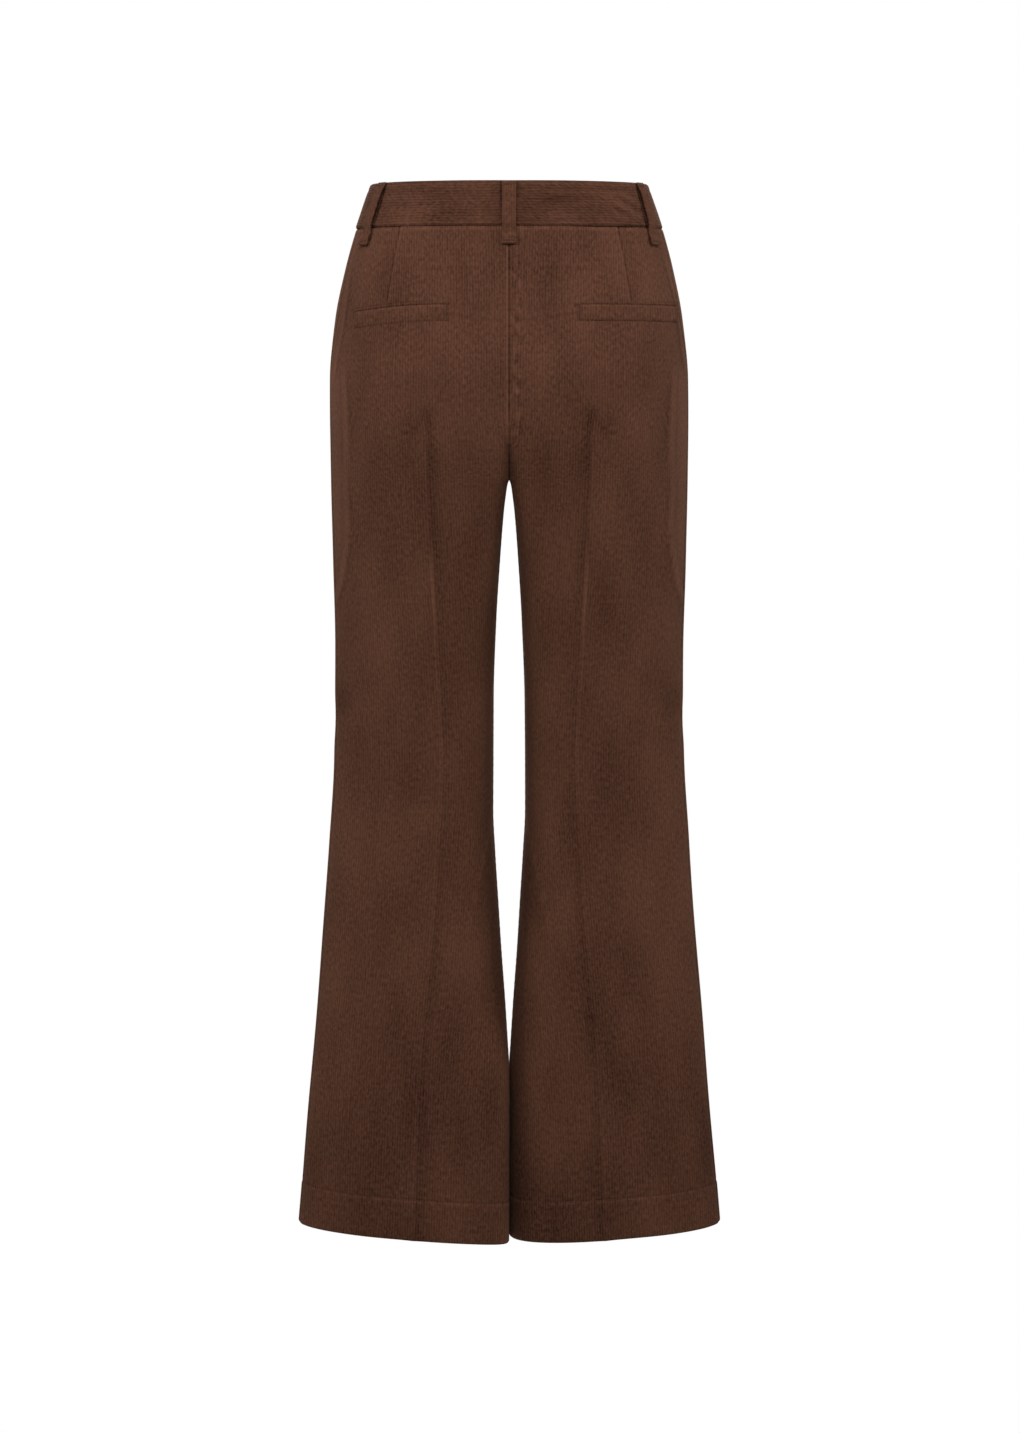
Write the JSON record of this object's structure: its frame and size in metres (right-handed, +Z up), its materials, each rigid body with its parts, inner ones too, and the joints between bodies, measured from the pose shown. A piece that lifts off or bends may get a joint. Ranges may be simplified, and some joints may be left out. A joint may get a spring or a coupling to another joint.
{
  "type": "corduroy trousers",
  "caption": "High-waisted flared corduroy trousers, filled out as worn and open at the waist and hems, with welt back pockets, belt loops and a front fly.",
  "frame": {"origin": "middle of the waist opening, half way up the waistband, where the wearer's waist holds the garment", "axes": "+Z up, towards the waist; -Y the front of the garment; +X the wearer's left"},
  "size_m": [0.426, 0.2367, 1.0565],
  "materials": {
    "corduroy": "brown fine-wale corduroy, with a soft cut pile that runs down the legs",
    "button": "dark brown horn-like plastic, softly polished"
  },
  "bodies": {
    "root": {"back_left": "corduroy", "back_right": "corduroy", "front_left": "corduroy", "front_right": "corduroy", "waistband_left": "corduroy", "waistband_right": "corduroy", "loop_back": "corduroy", "loop_side_left": "corduroy", "loop_side_right": "corduroy", "loop_front_left": "corduroy", "loop_front_right": "corduroy", "welt_left": "corduroy", "welt_right": "corduroy", "fly": "corduroy", "button": "button"}
  },
  "joints": []
}
